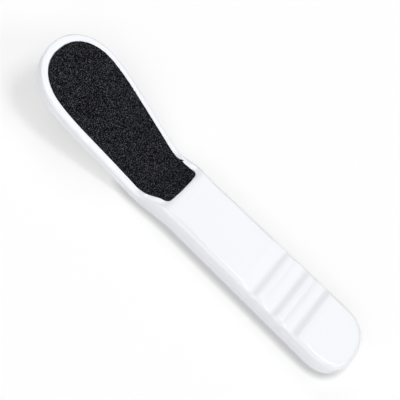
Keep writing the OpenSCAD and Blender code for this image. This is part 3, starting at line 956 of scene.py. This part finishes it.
class FOOTFILE_OT_grit(bpy.types.Operator):
    """Build the grit of both pads, as lumped resin and the grains that stand out of it"""

    bl_idname = "foot_file.grit"
    bl_label = "Grit"

    def execute(self, context):
        grit, colours = getattr(context.scene, GRIT), getattr(context.scene, COLOURS)
        front, back = sheets(context)
        for sheet, side, slot, node, resin, grain, number, shine in (
                (front, "front", "coarse_grit", "front_coarse_grit", colours.coarse,
                 grit.coarse_grain, grit.coarse_grains, colours.coarse_shine),
                (back, "back", "fine_grit", "back_fine_grit", colours.fine,
                 grit.fine_grain, grit.fine_grains, colours.fine_shine)):
            dress(f"{side}_grit_resin", sheet.grit_mesh(f"{side}_grit_resin", grit.mesh_step),
                  grit_look(f"{side}_resin", resin, grain, shine), slot, (node,))
            dress(f"{side}_grit_grains", sheet.grain_mesh(f"{side}_grit_grains", number, grain),
                  grain_look(f"{side}_grains", resin, grain, shine * colours.grain_shine), slot)
        return {"FINISHED"}


def cover(nodes, material):
    """Gives solids of the frame that are shown as they are a material."""
    for node in nodes:
        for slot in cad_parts[node].material_slots:
            slot.material = material


class FOOTFILE_OT_backing_cloths(bpy.types.Operator):
    """Give the backing cloths of both pads their weave"""

    bl_idname = "foot_file.backing_cloths"
    bl_label = "Backing Cloths"

    def execute(self, context):
        cover(("front_backing_cloth", "back_backing_cloth"),
              cloth_look(getattr(context.scene, COLOURS)))
        return {"FINISHED"}


class FOOTFILE_OT_adhesive_films(bpy.types.Operator):
    """Give the adhesive films of both pads their colour and their bubbles"""

    bl_idname = "foot_file.adhesive_films"
    bl_label = "Adhesive Films"

    def execute(self, context):
        cover(("front_adhesive", "back_adhesive"),
              adhesive_look(getattr(context.scene, COLOURS)))
        return {"FINISHED"}


PAPER_GRAIN, PAPER_DETAIL, PAPER_TINTS = 3 * MM, 3, (0.998, 1.002)
# Painted contact shadow in the floor's colour: full where the object hides this much of what is
# over the floor
PAINTED_SHADE_FULL = 0.5
# Directions lower than this meet the ceiling as if they were at this height
HORIZON = 0.02
CLIP_START = 10 * MM


class FOOTFILE_OT_studio(bpy.types.Operator):
    """Build the floor, the lights and the camera"""

    bl_idname = "foot_file.studio"
    bl_label = "Studio"

    def execute(self, context):
        studio, colours = getattr(context.scene, STUDIO), getattr(context.scene, COLOURS)
        context.scene.view_settings.view_transform = "Standard"
        self.floor(studio, colours)
        self.sky(context.scene, studio)
        self.camera(context.scene, studio)
        return {"FINISHED"}

    def floor(self, studio, colours):
        """White paper. Camera and mirrors see it lighter than its light makes it, with the object's
        shadow in it, and a contact shadow is painted into its colour close beside the object."""
        reach = studio.floor_reach
        mesh = bpy.data.meshes.new("floor")
        mesh.from_pydata([(-reach, -reach, 0), (reach, -reach, 0), (reach, reach, 0),
                          (-reach, reach, 0)], [], [(0, 1, 2, 3)])
        look = Look("floor_paper")
        paper = look.tint(look.noise(PAPER_GRAIN, PAPER_DETAIL),
                          *(scaled(colours.floor, tint) for tint in PAPER_TINTS))
        look.set(Roughness=1.0, Specular_IOR_Level=0.0, Emission_Color=(1, 1, 1, 1))
        rays = look.node("ShaderNodeLightPath").outputs
        seen = rays[SEEN_RAYS[0]]
        for name in SEEN_RAYS[1:]:
            either = look.node("ShaderNodeMath", operation="MAXIMUM")
            look.join(seen, either.inputs[0])
            look.join(rays[name], either.inputs[1])
            seen = either.outputs[0]
        look.join(look.ramp(seen, 0, 1, 0, studio.floor_lift),
                  look.shader.inputs["Emission Strength"])
        # Painted shade: ambient occlusion darkens the paper's colour close beside the object, as a
        # contact shadow
        painted_contact_shadow = look.node("ShaderNodeAmbientOcclusion", Distance=studio.painted_shade_reach)
        depth = look.node("ShaderNodeMath", operation="MULTIPLY")
        look.join(look.ramp(seen, 0, 1, 1, studio.floor_seen), depth.inputs[0])
        look.join(look.ramp(painted_contact_shadow.outputs["AO"], 1 - PAINTED_SHADE_FULL, 1, 1 - studio.painted_contact_shade, 1),
                  depth.inputs[1])
        paper_with_painted_shade = look.node("ShaderNodeVectorMath", operation="SCALE")
        look.join(paper, paper_with_painted_shade.inputs[0])
        look.join(depth.outputs[0], paper_with_painted_shade.inputs["Scale"])
        look.join(paper_with_painted_shade.outputs[0], look.shader.inputs["Base Color"])
        mesh.materials.append(look.material)
        floor = bpy.data.objects.new("floor", mesh)
        bpy.context.scene.collection.objects.link(floor)

    def sky(self, scene, studio):
        """A dim sky with soft-edged panels of light on a ceiling at a height of one.

        Camera and mirrors see the sky as white."""
        world = bpy.data.worlds.new("studio_sky")
        world.use_nodes = True
        scene.world = world
        tree = world.node_tree

        def math_node(operation, first, second):
            found = tree.nodes.new("ShaderNodeMath")
            found.operation = operation
            for socket, value in zip(found.inputs, (first, second)):
                if isinstance(value, float):
                    socket.default_value = value
                else:
                    tree.links.new(value, socket)
            return found.outputs[0]

        def map_range(value, from_low, from_high, to_low, to_high):
            found = tree.nodes.new("ShaderNodeMapRange")
            found.interpolation_type = "SMOOTHSTEP"
            for key, number in (("From Min", from_low), ("From Max", from_high),
                                ("To Min", to_low), ("To Max", to_high)):
                found.inputs[key].default_value = number
            tree.links.new(value, found.inputs["Value"])
            return found.outputs["Result"]

        towards = tree.nodes.new("ShaderNodeSeparateXYZ")
        direction = tree.nodes.new("ShaderNodeTexCoord")
        tree.links.new(direction.outputs["Generated"], towards.inputs[0])
        height = math_node("MAXIMUM", towards.outputs["Z"], HORIZON)
        places = [math_node("DIVIDE", towards.outputs[axis], height) for axis in ("X", "Y")]
        total = studio.sky
        rays = tree.nodes.new("ShaderNodeLightPath").outputs
        for name in SEEN_RAYS:
            total = math_node("MAXIMUM", total, rays[name])
        for strength, *sides in (
                (studio.fill, studio.fill_x, studio.fill_y),
                (studio.low, studio.low_x, studio.low_y),
                (studio.main, studio.main_x, studio.main_y),
                (studio.sheen, studio.sheen_x, studio.sheen_y),
                (studio.glint, studio.glint_x, studio.glint_y),
                (studio.slope, studio.slope_x, studio.slope_y)):
            panel = strength
            for place, (begins, full, fades, ends) in zip(places, sides):
                panel = math_node("MULTIPLY", map_range(place, begins, full, 0, 1), panel)
                panel = math_node("MULTIPLY", map_range(place, fades, ends, 1, 0), panel)
            total = math_node("ADD", total, panel)
        background = tree.nodes["Background"]
        background.inputs["Color"].default_value = (1, 1, 1, 1)
        tree.links.new(total, background.inputs["Strength"])

    def camera(self, scene, studio):
        """The photograph's viewpoint: tilted from straight down, then rolled in the picture."""
        tilt, pan, roll = studio.tilt, studio.pan, studio.roll
        back = Vector((math.sin(pan) * math.sin(tilt), -math.cos(pan) * math.sin(tilt),
                       math.cos(tilt)))
        right = Vector((math.cos(pan), math.sin(pan), 0))
        up = back.cross(right)
        place = (Vector((0, 0, studio.aim_height)) + studio.distance * back
                 - studio.aside * right + studio.above * up)
        turned_right = math.cos(roll) * right + math.sin(roll) * up
        turned_up = math.cos(roll) * up - math.sin(roll) * right
        data = bpy.data.cameras.new("portrait_camera")
        data.sensor_width = studio.sensor / MM
        data.lens = studio.lens / MM
        data.clip_start = CLIP_START
        camera = bpy.data.objects.new("portrait_camera", data)
        axes = Matrix((turned_right, turned_up, back)).transposed()
        camera.matrix_world = Matrix.Translation(place) @ axes.to_4x4()
        scene.collection.objects.link(camera)
        scene.camera = camera


OPERATORS = (FOOTFILE_OT_studio, FOOTFILE_OT_upper_shell, FOOTFILE_OT_lower_shell,
             FOOTFILE_OT_grit, FOOTFILE_OT_backing_cloths, FOOTFILE_OT_adhesive_films)
GROUPS = ((FootFileSizes, SIZES), (FootFileGrit, GRIT), (FootFileColours, COLOURS),
          (FootFileStudio, STUDIO))


class FOOTFILE_PT_panel(bpy.types.Panel):
    """Sizes, colours and builders of the foot file"""

    bl_idname = "FOOTFILE_PT_panel"
    bl_label = "Foot File"
    bl_space_type = "VIEW_3D"
    bl_region_type = "UI"
    bl_category = "Foot File"

    def draw(self, context):
        for operator in OPERATORS:
            self.layout.operator(operator.bl_idname)
        for group, name in GROUPS:
            box = self.layout.box()
            for key in group.__annotations__:
                box.prop(getattr(context.scene, name), key)


def register():
    for group, name in GROUPS:
        bpy.utils.register_class(group)
        setattr(bpy.types.Scene, name, PointerProperty(type=group))
    for operator in OPERATORS:
        bpy.utils.register_class(operator)
    bpy.utils.register_class(FOOTFILE_PT_panel)


def unregister():
    bpy.utils.unregister_class(FOOTFILE_PT_panel)
    for operator in reversed(OPERATORS):
        bpy.utils.unregister_class(operator)
    for group, name in reversed(GROUPS):
        delattr(bpy.types.Scene, name)
        bpy.utils.unregister_class(group)


def main():
    register()
    bpy.ops.foot_file.studio()
    bpy.ops.foot_file.upper_shell()
    bpy.ops.foot_file.lower_shell()
    bpy.ops.foot_file.grit()
    bpy.ops.foot_file.backing_cloths()
    bpy.ops.foot_file.adhesive_films()
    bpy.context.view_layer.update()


if __name__ == "__main__":
    main()
